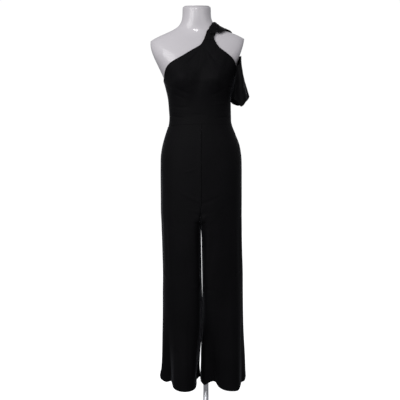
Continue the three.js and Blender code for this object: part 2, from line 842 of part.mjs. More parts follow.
// The sleeve: a loose tube that starts on the armhole edges of the bodice, goes
// round outside the cut arm and ends in an open hem.
function sleeveTube() {
  const surface = (s, v) => {
    const around = readTable(sleeveEdges, sleeveEdgeColumns, s);
    const height = lerp(around.hem, around.top, v);
    const row = readTable(sleeveRows, sleeveColumns, height);
    const middleX = (row.inner + row.outer) / 2;
    const half = (row.outer - row.inner) / 2;
    const middleY = bodyPlaneY + sleeveMiddleY;
    const bearing = (p) => {
      const n = signedPower((p.y - middleY) / row.depth, row.power / 2);
      const c = signedPower((p.x - middleX) / half, row.power / 2);
      return THREE.MathUtils.radToDeg(Math.atan2(n, c));
    };
    const place = (degrees) =>
      new THREE.Vector3(
        middleX + half * signedPower(Math.cos(rad(degrees)), 2 / row.power),
        middleY + row.depth * signedPower(Math.sin(rad(degrees)), 2 / row.power),
        height,
      );
    let start = 180 + sleeveSeamTurn;
    let end = 540 - sleeveSeamTurn;
    let fromStart = new THREE.Vector3();
    let fromEnd = new THREE.Vector3();
    if (height > underarmHeight) {
      const frontAngle = edgeAngleAt(frontEdge, 322, 360, height) + sleeveGapTurn;
      const backAngle = edgeAngleAt(backEdge, 0, 41, height) - sleeveGapTurn;
      const frontPoint = torsoPoint(frontAngle, height);
      const backPoint = torsoPoint(backAngle, height);
      start = (bearing(frontPoint) + 360) % 360;
      end = ((bearing(backPoint) + 360) % 360) + 360;
      fromStart = frontPoint.sub(place(start));
      fromEnd = backPoint.sub(place(end));
    }
    const p = place(lerp(start, end, s));
    p.addScaledVector(fromStart, 1 - ease(s, 0, 0.3));
    p.addScaledVector(fromEnd, ease(s, 0.7, 1));
    const out = new THREE.Vector3(p.x - middleX, p.y - middleY, 0).normalize();
    let push = 0;
    for (const line of sleeveFolds) {
      const f = Object.fromEntries(sleeveFoldColumns.map((name, i) => [name, line[i]]));
      push += f.push * bump(s - f.at, f.wide) * (1 - ease(v, 0.35, 1));
    }
    return p.addScaledVector(out, push);
  };
  return clothWall(surface, 26, 8);
}

// A turned solid from rows of radius and height.
function latheSolid(rows, segments) {
  const profile = rows.map(([r, z]) => new THREE.Vector2(r, z));
  const solid = new THREE.LatheGeometry(profile, segments);
  solid.rotateX(Math.PI / 2);
  return solid;
}

function neckCap() {
  return latheSolid(
    [
      [0, 0],
      [neckCapRadius, 0],
      [neckCapRadius, neckCapThickness - neckCapEdge],
      [neckCapRadius - neckCapEdge, neckCapThickness],
      [0, neckCapThickness],
    ],
    40,
  );
}

function standBase() {
  return latheSolid(
    [
      [0, 0],
      [baseRadius - baseUnderEdge, 0],
      [baseRadius, baseUnderEdge],
      [baseRadius, baseThickness - baseEdgeRound],
      [baseRadius - baseEdgeRound, baseThickness],
      [0, baseThickness],
    ],
    64,
  );
}

function standSocket() {
  const low = baseThickness + seamGap;
  const inside = poleRadius + seamGap;
  return latheSolid(
    [
      [inside, low],
      [socketRadius, low],
      [socketRadius, low + socketHeight * socketStraightShare],
      [socketRadius - socketTaper, low + socketHeight],
      [inside, low + socketHeight],
      [inside, low],
    ],
    32,
  );
}

function standPole() {
  const low = baseThickness + seamGap;
  return latheSolid(
    [
      [0, low],
      [poleRadius, low],
      [poleRadius, poleTopHeight],
      [0, poleTopHeight],
    ],
    20,
  );
}

const cloth = new THREE.MeshStandardMaterial({
  color: 0x131318,
  roughness: 0.82,
  metalness: 0,
  side: THREE.DoubleSide,
});
const formSkin = new THREE.MeshStandardMaterial({
  color: 0xc3c0c6,
  roughness: 0.42,
  metalness: 0,
});
const chrome = new THREE.MeshStandardMaterial({
  color: 0xc8c9cc,
  roughness: 0.18,
  metalness: 1,
});
const baseMetal = new THREE.MeshStandardMaterial({
  color: 0xb4b6ba,
  roughness: 0.35,
  metalness: 1,
});

const jumpsuit = new THREE.Group();

function addPiece(name, geometry, material) {
  const mesh = new THREE.Mesh(geometry, material.clone());
  mesh.name = name;
  jumpsuit.add(mesh);
  return mesh;
}

addPiece("bodice_front", bodicePanel(frontAngles, frontEdge, frontPulls), cloth);
addPiece("bodice_back", bodicePanel(backAngles, backEdge, backPulls), cloth);
addPiece("trouser_front_left", trouserPanel("left", "front"), cloth);
addPiece("trouser_front_right", trouserPanel("right", "front"), cloth);
addPiece("trouser_back_left", trouserPanel("left", "back"), cloth);
addPiece("trouser_back_right", trouserPanel("right", "back"), cloth);
addPiece("shoulder_strap", shoulderStrap(), cloth);
addPiece("shoulder_knot", shoulderKnot(), cloth);
addPiece("shoulder_band", shoulderBand(), cloth);
addPiece("sleeve", sleeveTube(), cloth);
addPiece("form_torso", formTorso(), formSkin);

const cap = addPiece("form_neck_cap", neckCap(), formSkin);
cap.position.set(neckCentreX, bodyPlaneY + 1, neckTopHeight + seamGap + 0.1);
cap.rotation.x = Math.atan(neckTopSlope);
addPiece("stand_pole", standPole(), chrome);
addPiece("stand_socket", standSocket(), chrome);
addPiece("stand_base", standBase(), baseMetal);

export default jumpsuit;
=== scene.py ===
# %% [markdown]
# # A one-shoulder jumpsuit on a dress form
# The garment is black jersey: a bodice front and back, four trouser panels, a
# strap with a knot, a band over the shoulder and one loose sleeve. It hangs on
# a smooth limbless form with a pole and a round base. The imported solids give
# every place and size. This scene adds what cloth has: thin shells, creases,
# sewn seams, turned hems and the look of jersey.

import math

import bmesh
import bpy
import numpy as np
from mathutils import Matrix, Vector


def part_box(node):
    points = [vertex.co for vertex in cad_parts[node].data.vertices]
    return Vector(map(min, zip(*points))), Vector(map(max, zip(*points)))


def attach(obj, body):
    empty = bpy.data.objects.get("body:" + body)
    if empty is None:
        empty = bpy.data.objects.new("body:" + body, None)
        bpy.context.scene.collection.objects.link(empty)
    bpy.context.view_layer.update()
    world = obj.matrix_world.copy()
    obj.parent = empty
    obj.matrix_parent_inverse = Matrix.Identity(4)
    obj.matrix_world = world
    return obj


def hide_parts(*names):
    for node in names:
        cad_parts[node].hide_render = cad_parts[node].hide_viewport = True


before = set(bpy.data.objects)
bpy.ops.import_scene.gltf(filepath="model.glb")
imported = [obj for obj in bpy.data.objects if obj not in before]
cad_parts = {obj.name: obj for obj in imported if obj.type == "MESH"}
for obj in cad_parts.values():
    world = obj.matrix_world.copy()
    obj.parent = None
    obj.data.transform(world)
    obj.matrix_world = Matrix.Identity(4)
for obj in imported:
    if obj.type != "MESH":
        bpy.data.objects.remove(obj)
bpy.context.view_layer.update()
MM = 0.001

# %% [markdown]
# ## The camera
# The picture looks straight at the front from about 2.5 m, level with the hips,
# so that upright lines stay upright. The lens follows from the size of one
# pixel at the side seams. Working it out this way keeps the picture's scale
# tied to the real sizes.

# %% Camera
IMAGE_SIZE = 400
PIXEL = 4.15 * MM
SENSOR = 36.0
SEAM_PLANE_Y = -35 * MM
CAMERA_X = -24.9 * MM
CAMERA_Z = 910 * MM
CAMERA_AWAY = 2.5

camera_data = bpy.data.cameras.new("camera")
camera_data.sensor_width = SENSOR
camera_data.lens = SENSOR * CAMERA_AWAY / (PIXEL * IMAGE_SIZE)
camera = bpy.data.objects.new("camera", camera_data)
bpy.context.collection.objects.link(camera)
camera.location = (CAMERA_X, SEAM_PLANE_Y - CAMERA_AWAY, CAMERA_Z)
camera.rotation_euler = (math.radians(90), 0, 0)
bpy.context.scene.camera = camera
print("lens", round(camera_data.lens, 1), "mm")

# %% [markdown]
# ## Shader maths in Python
# Patterns are easier to read as sums than as a web of nodes. One small class
# wraps a socket, so that an expression on it adds the Math nodes. One method
# adds any other node. This keeps each finish in a few lines.

# %% Shader helpers
# Two outputs of the Texture Coordinate node.
UV_PLACE = 2
OBJECT_PLACE = 3


class Wire:
    """A socket whose arithmetic adds Math nodes."""

    def __init__(self, tree, socket):
        self.tree = tree
        self.socket = socket

    def maths(self, operation, first, second=None):
        node = self.tree.nodes.new("ShaderNodeMath")
        node.operation = operation
        for place, value in zip(node.inputs, (first, second)):
            if isinstance(value, Wire):
                self.tree.links.new(value.socket, place)
            elif value is not None:
                place.default_value = value
        return Wire(self.tree, node.outputs[0])

    def __add__(self, other):
        return self.maths("ADD", self, other)

    def __mul__(self, other):
        return self.maths("MULTIPLY", self, other)

    def __pow__(self, other):
        return self.maths("POWER", self, other)

    __radd__ = __add__
    __rmul__ = __mul__

    def sine(self):
        return self.maths("SINE", self)

    def output(self, index):
        """Another output of the same node."""
        return Wire(self.tree, self.socket.node.outputs[index])


class Finish:
    """A new material and its node tree."""

    def __init__(self, name):
        self.material = bpy.data.materials.new(name)
        self.material.use_nodes = True
        self.tree = self.material.node_tree
        self.tree.nodes.clear()

    def add(self, kind, settings=None, out=0, **sockets):
        """Adds a node: settings first, then values or links by socket name."""
        node = self.tree.nodes.new(kind)
        for key, value in (settings or {}).items():
            if key == "stops":
                while len(node.color_ramp.elements) < len(value):
                    node.color_ramp.elements.new(0.5)
                for element, (place, colour) in zip(node.color_ramp.elements, value):
                    element.position = place
                    element.color = (*colour, 1)
            else:
                setattr(node, key, value)
        for key, value in sockets.items():
            name = key.replace("_", " ")
            place = next(s for s in node.inputs if s.name == name and s.enabled)
            if isinstance(value, Wire):
                self.tree.links.new(value.socket, place)
            else:
                place.default_value = value
        return Wire(self.tree, node.outputs[out] if node.outputs else None)

    def show(self, shader):
        self.add("ShaderNodeOutputMaterial", Surface=shader)
        return self.material


print("helpers ready")

# %% [markdown]
# ## Black jersey
# Jersey is a fine knit: columns of loops about a millimetre apart. It is very
# black, with a faint soft sheen where it turns away. The loops are a bump on
# the cloth's own map, which is in metres, so they run along every panel. Broad
# soft noise makes the black a little uneven, as pressed and handled cloth is.

# %% Jersey
WALE = 1.1 * MM
COURSE = 0.85 * MM
JERSEY_BLACK = (0.0019, 0.0018, 0.0022)
JERSEY_WORN = (0.0034, 0.0032, 0.0039)


def jersey_finish():
    finish = Finish("black_jersey")
    place = finish.add("ShaderNodeTexCoord", out=OBJECT_PLACE)
    cloth_map = finish.add("ShaderNodeTexCoord", out=UV_PLACE)
    across = finish.add("ShaderNodeSeparateXYZ", Vector=cloth_map)
    up = across.output(1)
    broad = finish.add("ShaderNodeTexNoise", Vector=place, Scale=7.0, Detail=3.0)
    fine = finish.add("ShaderNodeTexNoise", Vector=place, Scale=260.0, Detail=2.0)
    colour = finish.add(
        "ShaderNodeValToRGB",
        {"stops": [(0.35, JERSEY_BLACK), (0.7, JERSEY_WORN)]},
        Fac=broad * 0.8 + fine * 0.2,
    )
    loops = (across * (2 * math.pi / WALE)).sine() * 0.6
    loops = loops + (up * (2 * math.pi / COURSE)).sine() * 0.3
    fuzz = finish.add("ShaderNodeTexNoise", Vector=place, Scale=900.0, Detail=2.0)
    bump = finish.add(
        "ShaderNodeBump",
        Strength=0.35,
        Distance=0.12 * MM,
        Height=loops + fuzz * 0.8,
    )
    shader = finish.add(
        "ShaderNodeBsdfPrincipled",
        Base_Color=colour,
        Roughness=0.58 + broad * 0.16,
        Specular_IOR_Level=0.055,
        Sheen_Weight=0.13,
        Sheen_Roughness=0.26,
        Sheen_Tint=(0.9, 0.9, 1.0, 1),
        Normal=bump,
    )
    return finish.show(shader)


jersey = jersey_finish()
print("cloth finish:", jersey.name)

# %% Thread
THREAD_DARK = (0.002, 0.002, 0.0024)
THREAD_LIGHT = (0.006, 0.006, 0.0068)


def thread_finish():
    finish = Finish("black_thread")
    place = finish.add("ShaderNodeTexCoord", out=OBJECT_PLACE)
    twist = finish.add("ShaderNodeTexNoise", Vector=place, Scale=1400.0, Detail=1.0)
    colour = finish.add(
        "ShaderNodeValToRGB",
        {"stops": [(0.3, THREAD_DARK), (0.75, THREAD_LIGHT)]},
        Fac=twist,
    )
    bump = finish.add("ShaderNodeBump", Strength=0.4, Distance=0.1 * MM, Height=twist)
    shader = finish.add(
        "ShaderNodeBsdfPrincipled",
        Base_Color=colour,
        Roughness=0.45 + twist * 0.1,
        Specular_IOR_Level=0.1,
        Normal=bump,
    )
    return finish.show(shader)


thread = thread_finish()
print("thread finish:", thread.name)

# %% [markdown]
# ## The form's shell, the pole and the base
# The form is a moulded shell, painted a pale cool grey with a soft gloss. Paint
# on a moulding is never quite flat, so a slow bump bends its highlights and a
# finer one gives the sprayed grain. The pole is polished chrome. The base is
# steel brushed round its middle, so its scratches follow circles.

# %% Form and metal finishes
FORM_GREY = (0.438, 0.420, 0.440)
FORM_PALE = (0.474, 0.454, 0.476)
CHROME_DARK = (0.74, 0.74, 0.76)
CHROME_BRIGHT = (0.82, 0.82, 0.83)
STEEL_DARK = (0.52, 0.53, 0.54)
STEEL_BRIGHT = (0.66, 0.67, 0.68)
RINGS_PER_METRE = 1500.0


def form_finish():
    finish = Finish("form_shell")
    place = finish.add("ShaderNodeTexCoord", out=OBJECT_PLACE)
    broad = finish.add("ShaderNodeTexNoise", Vector=place, Scale=5.0, Detail=2.0)
    grain = finish.add("ShaderNodeTexNoise", Vector=place, Scale=420.0, Detail=2.0)
    colour = finish.add(
        "ShaderNodeValToRGB",
        {"stops": [(0.3, FORM_GREY), (0.7, FORM_PALE)]},
        Fac=broad * 0.85 + grain * 0.15,
    )
    bump = finish.add(
        "ShaderNodeBump",
        Strength=0.25,
        Distance=0.5 * MM,
        Height=broad + grain * 0.12,
    )
    shader = finish.add(
        "ShaderNodeBsdfPrincipled",
        Base_Color=colour,
        Roughness=0.34 + grain * 0.12,
        Specular_IOR_Level=0.35,
        Coat_Weight=0.34,
        Coat_Roughness=0.11,
        Normal=bump,
    )
    return finish.show(shader)


def chrome_finish():
    finish = Finish("pole_chrome")
    place = finish.add("ShaderNodeTexCoord", out=OBJECT_PLACE)
    smear = finish.add("ShaderNodeTexNoise", Vector=place, Scale=18.0, Detail=3.0)
    colour = finish.add(
        "ShaderNodeValToRGB",
        {"stops": [(0.3, CHROME_DARK), (0.7, CHROME_BRIGHT)]},
        Fac=smear,
    )
    shader = finish.add(
        "ShaderNodeBsdfPrincipled",
        Base_Color=colour,
        Metallic=1.0,
        Roughness=0.08 + smear * 0.14,
    )
    return finish.show(shader)


def brushed_finish():
    finish = Finish("base_steel")
    place = finish.add("ShaderNodeTexCoord", out=OBJECT_PLACE)
    x = finish.add("ShaderNodeSeparateXYZ", Vector=place)
    y = x.output(1)
    from_middle = (x * x + y * y) ** 0.5
    rings = finish.add(
        "ShaderNodeTexNoise",
        {"noise_dimensions": "1D"},
        W=from_middle * RINGS_PER_METRE,
        Detail=4.0,
    )
    smear = finish.add("ShaderNodeTexNoise", Vector=place, Scale=14.0, Detail=3.0)
    colour = finish.add(
        "ShaderNodeValToRGB",
        {"stops": [(0.25, STEEL_DARK), (0.75, STEEL_BRIGHT)]},
        Fac=rings * 0.6 + smear * 0.4,
    )
    bump = finish.add("ShaderNodeBump", Strength=0.25, Distance=0.1 * MM, Height=rings)
    shader = finish.add(
        "ShaderNodeBsdfPrincipled",
        Base_Color=colour,
        Metallic=1.0,
        Roughness=0.24 + rings * 0.12 + smear * 0.06,
        Normal=bump,
    )
    return finish.show(shader)


shell = form_finish()
chrome = chrome_finish()
steel = brushed_finish()
print("hard finishes:", shell.name, chrome.name, steel.name)

# %% [markdown]
# ## Reading a panel from its solid
# Each cloth solid is a wall on a grid of rows and columns: an outer face, an
# inner face and a rim as wide as the wall is thick. The panel could be cut
# free by hand, but the rim's short edges mark it exactly. So the faces that
# hold such an edge are left out, and the grid is walked from one corner.

# %% Panel grids
WALL = 1.6 * MM
WALL_TOLERANCE = 0.012 * MM
MERGE_WITHIN = 0.01 * MM


def mean_length(points, axis):
    """The mean length of each step along one way of a grid."""
    steps = np.linalg.norm(np.diff(points, axis=axis), axis=2)
    return steps.mean(axis=1 - axis)


def outer_grid(name, columns, upright=2):
    """The outer face of a cloth solid as rows from low to high along one axis."""
    bm = bmesh.new()
    bm.from_mesh(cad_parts[name].data)
    bmesh.ops.remove_doubles(bm, verts=bm.verts, dist=MERGE_WITHIN)
    rim = [e for e in bm.edges if abs(e.calc_length() - WALL) < WALL_TOLERANCE]
    partner = {}
    for e in rim:
        a, b = e.verts
        partner[a], partner[b] = b, a
    rim_faces = {f for e in rim for f in e.link_faces}

    def kept(v):
        """The faces at a vertex, without those of the rim."""
        return [f for f in v.link_faces if f not in rim_faces]

    def outside(v):
        """Whether a rim vertex is on the outer face."""
        inward = partner[v].co - v.co
        return inward.dot(sum((f.normal for f in v.link_faces), Vector())) < 0

    def neighbours(v):
        """The vertices that follow or lead one on the border."""
        near = {w for f in kept(v) for w in f.verts if w is not v}
        shared = {w: len([f for f in kept(v) if w in f.verts]) for w in near}
        return [w for w in near if w in partner and shared[w] == 1]

    start = next(v for v in partner if outside(v) and len(kept(v)) == 2)

    def walk(first):
        """Along the border from the start corner to the next corner."""
        path = [start, first]
        while len(kept(path[-1])) > 2:
            path.append(next(w for w in neighbours(path[-1]) if w not in path))
        return path

    sides = [walk(w) for w in neighbours(start)]
    row, side = sides if len(sides[0]) == columns else sides[::-1]
    rows = [row]
    seen = set(row)
    for left in side[1:]:
        new = [left]
        for a, b in zip(rows[-1], rows[-1][1:]):
            face = next(
                f for f in kept(a) if b in f.verts and not seen & (set(f.verts) - {a, b})
            )
            new.append(next(v for v in face.verts if v not in (a, b)))
        rows.append(new)
        seen |= set(new)
    grid = np.array([[tuple(v.co) for v in r] for r in rows])
    outward = sum((f.normal for f in kept(rows[1][1])), Vector())
    bm.free()
    if grid[-1, :, upright].mean() < grid[0, :, upright].mean():
        grid = grid[::-1]
        outward_row = len(rows) - 2
    else:
        outward_row = 1
    along = grid[outward_row, 2] - grid[outward_row, 0]
    rising = grid[outward_row + 1, 1] - grid[outward_row - 1, 1]
    if np.dot(np.cross(along, rising), outward) < 0:
        grid = grid[:, ::-1]
    return grid


front_grid = outer_grid("bodice_front", columns=26)
print("bodice front:", front_grid.shape[0], "rows of", front_grid.shape[1])

# %% [markdown]
# ## A finer sheet through the same points
# The solid's grid is coarse. A smooth curve through its points gives the drape
# between them without shrinking the outline, which a subdivision surface would.
# Samples lie close together near the edges, because seams and hems live there.

# %% Smooth resampling
# Close samples lie this far from an edge, in mm.
EDGE_STEPS = (0.8, 1.7, 2.8, 4.2, 6.0, 8.5)
# Even ones start past the last of those, times this.
EDGE_CLEAR = 1.2
TINY = 1e-12


def sample_places(length, spacing):
    """Even places along a length, with closer ones near both ends."""
    near = [s * MM for s in EDGE_STEPS]
    inside = np.linspace(0, length, max(2, round(length / spacing)) + 1)
    clear = near[-1] * EDGE_CLEAR
    keep = [s for s in inside if clear < s < length - clear]
    return np.array([0, *near, *keep, *[length - s for s in near[::-1]], length])


def smooth_along(points, axis, spacing):
    """Cubic pieces through the points along one way, sampled anew."""
    p = np.moveaxis(points, axis, 0)
    knots = np.concatenate([[0], np.cumsum(mean_length(points, axis))])
    places = sample_places(knots[-1], spacing)
    slope = np.empty_like(p)
    before, after = np.diff(knots)[:-1], np.diff(knots)[1:]
    low = (p[1:-1] - p[:-2]) / before[:, None, None]
    high = (p[2:] - p[1:-1]) / after[:, None, None]
    share = (before / (before + after))[:, None, None]
    slope[1:-1] = low * (1 - share) + high * share
    slope[0] = (p[1] - p[0]) / (knots[1] - knots[0])
    slope[-1] = (p[-1] - p[-2]) / (knots[-1] - knots[-2])
    i = np.clip(np.searchsorted(knots, places, side="right") - 1, 0, len(knots) - 2)
    step = (knots[i + 1] - knots[i])[:, None, None]
    t = ((places - knots[i]) / (knots[i + 1] - knots[i]))[:, None, None]
    h = t * t * (3 - 2 * t)
    out = p[i] * (1 - h) + p[i + 1] * h
    out = out + slope[i] * step * (t**3 - 2 * t**2 + t) + slope[i + 1] * step * (t**3 - t**2)
    return np.moveaxis(out, 0, axis)


def outward_normals(points):
    """A unit normal at every point of a grid."""
    across = np.gradient(points, axis=1)
    up = np.gradient(points, axis=0)
    n = np.cross(across, up)
    return n / np.maximum(np.linalg.norm(n, axis=2, keepdims=True), TINY)


def edge_distances(points):
    """Distance of each point from the left, right, bottom and top edges."""
    across = np.linalg.norm(np.diff(points, axis=1), axis=2)
    up = np.linalg.norm(np.diff(points, axis=0), axis=2)
    left = np.concatenate([np.zeros((len(points), 1)), np.cumsum(across, axis=1)], axis=1)
    bottom = np.concatenate([np.zeros((1, points.shape[1])), np.cumsum(up, axis=0)])
    return {
        "left": left,
        "right": left[:, -1:] - left,
        "bottom": bottom,
        "top": bottom[-1:] - bottom,
    }


print("samples near an edge, in mm:", EDGE_STEPS)

# %% [markdown]
# ## Creases
# A crease is a soft trough or a ridge that runs from one place to another and
# dies out at both ends. Each is a row: where it starts and ends, as a direction
# in degrees seen from above (270 faces the front, 180 the left of the front
# view) and a height, then its half width, its depth (below zero is a trough)
# and its bow, all in mm. Rows that differ in length, depth and spacing look
# like real cloth. The back has rows of its own.

# %% Crease tables
# Each axis: where it stands, and the radius that turns degrees into mm.
TORSO_AXIS = (-27.0, -35.0, 135.0)
LEFT_LEG_AXIS = (-104.0, -35.0, 95.0)
RIGHT_LEG_AXIS = (68.0, -35.0, 95.0)
SLEEVE_AXIS = (146.0, -33.0, 55.0)

TORSO_CREASES = [
    # direction, height, to direction, to height, half width, depth, bow
    (277, 1556, 226, 1416, 9, -1.7, 8),
    (275, 1540, 246, 1440, 7, -1.1, 4),
    (279, 1556, 268, 1440, 6, -1.2, -3),
    (280, 1548, 291, 1446, 6, -1.3, 3),
    (282, 1556, 318, 1424, 8, -1.6, -7),
    (283, 1532, 336, 1412, 7, -1.1, -6),
    (272, 1532, 214, 1432, 8, 1.0, 10),
    (216, 1372, 252, 1330, 11, -1.3, -6),
    (208, 1352, 240, 1314, 10, -0.9, -5),
    (326, 1368, 292, 1326, 10, -1.2, 6),
    (240, 1390, 301, 1388, 20, 1.2, 0),
    (184, 1392, 212, 1360, 8, -1.7, -4),
    (356, 1392, 328, 1362, 8, -1.8, 4),
    (350, 1372, 330, 1346, 6, -1.0, 3),
    (190, 1264, 234, 1240, 7, -1.6, -5),
    (188, 1282, 226, 1262, 7, 1.0, -5),
    (200, 1298, 246, 1280, 9, -1.0, -6),
    (352, 1262, 306, 1238, 7, -1.5, 5),
    (346, 1284, 314, 1266, 7, -1.1, 5),
    (338, 1312, 296, 1292, 9, 0.8, 6),
    (252, 1250, 288, 1246, 8, -0.8, 3),
    (54, 1604, 118, 1430, 9, -1.7, -8),
    (52, 1600, 84, 1440, 7, -1.2, -4),
    (49, 1596, 58, 1420, 7, -1.3, 3),
    (46, 1592, 26, 1430, 8, -1.5, 5),
    (56, 1600, 142, 1420, 8, 0.9, -9),
    (172, 1392, 146, 1356, 8, -1.6, 4),
    (8, 1390, 34, 1352, 8, -1.6, -4),
    (166, 1262, 118, 1238, 7, -1.6, 6),
    (160, 1284, 108, 1264, 8, -1.0, 6),
    (14, 1266, 60, 1242, 7, -1.6, -5),
    (22, 1290, 76, 1270, 8, -1.1, -6),
    (70, 1256, 112, 1250, 9, -0.9, 3),
    (62, 1330, 104, 1318, 12, -0.9, 4),
]
LEFT_LEG_CREASES = [
    (352, 868, 268, 946, 11, -1.1, 8),
    (354, 846, 286, 872, 10, -1.0, 6),
    (350, 824, 290, 800, 9, -0.9, -5),
    (346, 884, 300, 968, 10, -0.8, 5),
    (300, 1034, 278, 1020, 8, -0.7, 3),
    (192, 1180, 244, 1120, 12, -1.1, -7),
    (206, 1020, 214, 640, 22, 1.8, -5),
    (238, 900, 246, 560, 16, -1.4, 4),
    (196, 640, 246, 586, 11, -1.5, -6),
    (342, 604, 292, 560, 12, -1.6, 7),
    (350, 540, 306, 500, 9, -1.1, 5),
    (262, 470, 268, 176, 9, -2.2, 3),
    (286, 420, 288, 168, 8, 1.6, -2),
    (304, 400, 300, 170, 8, -2.0, 2),
    (218, 360, 212, 170, 8, -1.8, -3),
    (20, 860, 78, 838, 10, -2.2, -7),
    (16, 836, 66, 806, 9, -1.7, -6),
    (32, 884, 96, 900, 11, -1.4, -6),
    (168, 1170, 118, 1110, 12, -1.2, 7),
    (26, 620, 80, 566, 11, -1.6, -6),
    (158, 660, 104, 616, 11, -1.4, 6),
    (112, 520, 106, 176, 9, -2.2, 3),
    (80, 440, 84, 170, 8, -1.9, -2),
    (146, 400, 140, 172, 8, 1.6, 2),
    (44, 430, 48, 176, 8, -1.9, 3),
]
RIGHT_LEG_CREASES = [
    (188, 866, 268, 930, 11, -1.1, -8),
    (186, 844, 252, 862, 10, -0.9, -6),
    (190, 820, 246, 792, 9, -0.8, 5),
    (194, 888, 236, 972, 10, -0.7, -5),
    (348, 1176, 300, 1106, 12, -1.2, 7),
    (330, 1000, 326, 640, 20, 1.5, 5),
    (296, 880, 292, 540, 16, -1.3, -4),
    (346, 650, 296, 600, 11, -1.5, 6),
    (198, 600, 250, 548, 12, -1.7, -7),
    (190, 552, 234, 508, 9, -1.1, -5),
    (284, 480, 288, 178, 9, 1.7, 3),
    (262, 440, 258, 172, 9, -2.2, -3),
    (318, 410, 312, 170, 8, -2.0, 3),
    (342, 330, 346, 170, 7, -1.6, -2),
    (220, 380, 214, 180, 8, -1.6, 2),
    (160, 858, 102, 836, 10, -2.1, 7),
    (164, 834, 112, 802, 9, -1.7, 6),
    (150, 886, 88, 902, 11, -1.4, 6),
    (12, 1176, 58, 1112, 12, -1.2, -7),
    (156, 612, 102, 570, 11, -1.6, 6),
    (20, 668, 74, 622, 11, -1.4, -6),
    (70, 500, 74, 174, 9, -2.1, 3),
    (102, 450, 98, 170, 8, -1.9, -3),
    (34, 420, 40, 172, 8, 1.6, 2),
    (136, 400, 130, 176, 8, -1.7, 2),
]
SLEEVE_CREASES = [
    (262, 1372, 246, 1344, 5, 2.2, 2),
    (250, 1390, 232, 1352, 6, -2.2, 3),
    (284, 1420, 268, 1322, 7, -1.8, 4),
    (316, 1460, 300, 1320, 8, -1.6, 3),
    (344, 1480, 334, 1340, 8, 1.5, -3),
    (8, 1490, 16, 1345, 8, -1.8, -3),
    (40, 1500, 52, 1330, 8, 1.4, 4),
    (66, 1500, 78, 1325, 7, -1.9, -4),
    (104, 1480, 116, 1330, 8, -1.6, 3),
]
CREASES = TORSO_CREASES + LEFT_LEG_CREASES + RIGHT_LEG_CREASES + SLEEVE_CREASES
print("creases:", len(CREASES))

# %% [markdown]
# ## Pressing the creases in
# Every point knows its direction and height. From these its distance to each
# crease is measured along the cloth, and a smooth hill or valley is added along
# the outward normal. A few slow waves at odd lengths are added too, so that no
# stretch of cloth is perfectly even.

# %% Crease functions
# Where on its fade a crease starts and ends, and how quickly it gets deep.
FADE_START = 0.05
FADE_POWER = 0.8


def crease_relief(points, creases, axis):
    """Outward shift at each point, in metres."""
    middle_x, middle_y, radius = (a * MM for a in axis)
    direction = np.arctan2(points[..., 1] - middle_y, points[..., 0] - middle_x)
    height = points[..., 2]
    shift = np.zeros(height.shape)
    for start, low, end, high, wide, deep, bow in creases:
        turn = math.radians((end - start + 180) % 360 - 180)
        off = (direction - math.radians(start) + math.pi) % (2 * math.pi) - math.pi
        x, y = off * radius, height - low * MM
        run_x, run_y = turn * radius, (high - low) * MM
        run = math.hypot(run_x, run_y)
        t = (x * run_x + y * run_y) / run**2
        side = (y * run_x - x * run_y) / run
        inside = np.clip(t, 0, 1)
        side = side - bow * MM * np.sin(math.pi * inside)
        past = (t - inside) * run
        far = np.sqrt(side**2 + past**2) / (wide * MM)
        share = np.clip(t * (1 - 2 * FADE_START) + FADE_START, 0, 1)
        along = np.sin(math.pi * share) ** FADE_POWER
        hill = np.where(far < 1, (1 + np.cos(math.pi * np.minimum(far, 1))) / 2, 0)
        shift += deep * MM * hill * along
    return shift


def slow_waves(points, size):
    """Slow waves whose rates share no factor, so that they never line up."""
    x, y, z = points[..., 0], points[..., 1], points[..., 2]
    wave = np.sin(41 * x + 23 * z + 1.3) * np.sin(17 * z - 31 * y + 0.4)
    wave = wave + 0.6 * np.sin(63 * y - 29 * z + 2.1) * np.sin(53 * x + 11 * z)
    return size * MM * wave


relief = crease_relief(front_grid, TORSO_CREASES, TORSO_AXIS)
print("bodice front: creases up to", round(np.abs(relief).max() / MM, 2), "mm deep")

# %% [markdown]
# ## Finishing the edges of a panel
# A real panel never just stops. At a seam the cloth dips and its allowance lies
# flat behind the neighbour, which also closes the seam against light. At a hem
# or a neckline it is turned in round a tight fold. Both are extra rows added
# past the edge, so that they stay one sheet with the panel.

# %% Edge rows
SHELL = 0.9 * MM
SEAM_DIP = 0.12 * MM
SEAM_REACH = 1.8 * MM
SWELL_REACH = 12 * MM
# Each edge finish is a list of steps past the edge: onward and inward, in mm.
UNDERLAP = ((0.15, 0.7), (0.5, 1.5), (1.5, 2.0), (4.0, 2.1))
SHORT_LAP = ((0.1, 0.8), (0.3, 2.0), (1.6, 2.6))
SEAM_RETURN = ((0.0, 0.6), (-0.1, 1.3))
LAP_OVER = ((2.0, 0.0), (4.0, 0.2), (4.3, 0.7))
SEWN = (UNDERLAP, SHORT_LAP, SEAM_RETURN)
# The radius of a turned edge, in mm as well.
FOLD_RADIUS = 1.1


def turned(width):
    """Round a tight fold and back behind the panel by a width."""
    steps = []
    for degrees in (30, 60, 90, 120, 150, 180):
        a = math.radians(degrees)
        steps.append((math.sin(a) * FOLD_RADIUS, (1 - math.cos(a)) * FOLD_RADIUS))
    for back in (0.3, 0.65, 1.0):
        steps.append((-width * back, 2 * FOLD_RADIUS))
    return tuple(steps)


